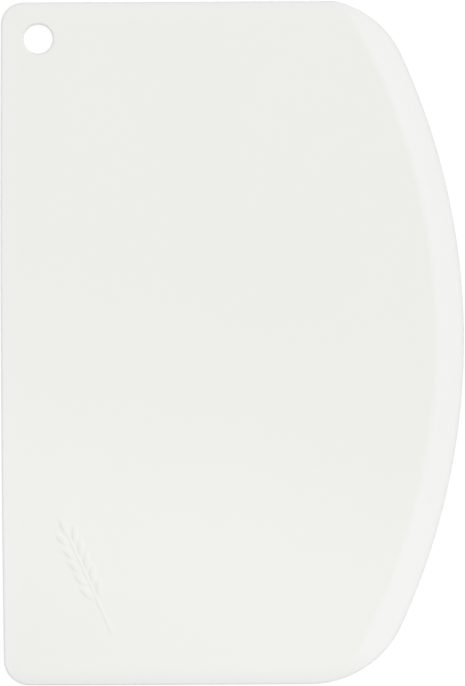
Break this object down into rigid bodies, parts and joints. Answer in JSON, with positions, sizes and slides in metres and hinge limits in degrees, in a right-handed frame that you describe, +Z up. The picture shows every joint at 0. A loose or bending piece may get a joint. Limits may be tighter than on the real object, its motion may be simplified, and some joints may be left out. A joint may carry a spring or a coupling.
{
  "type": "bench scraper",
  "caption": "Flexible D-shaped dough scraper moulded in one piece of white plastic: straight back edge, curved bevelled working edge, hang hole.",
  "frame": {"origin": "on the flat back face, under the middle of the outline's box; the scraper lies on that face", "axes": "+X towards the curved working edge, +Y along the back edge towards the hang hole's end, +Z up, out of the front face"},
  "size_m": [0.099, 0.146, 0.0022],
  "materials": {
    "scraper_plastic": "matte"
  },
  "bodies": {
    "root": {"scraper_body": "scraper_plastic"}
  },
  "joints": []
}
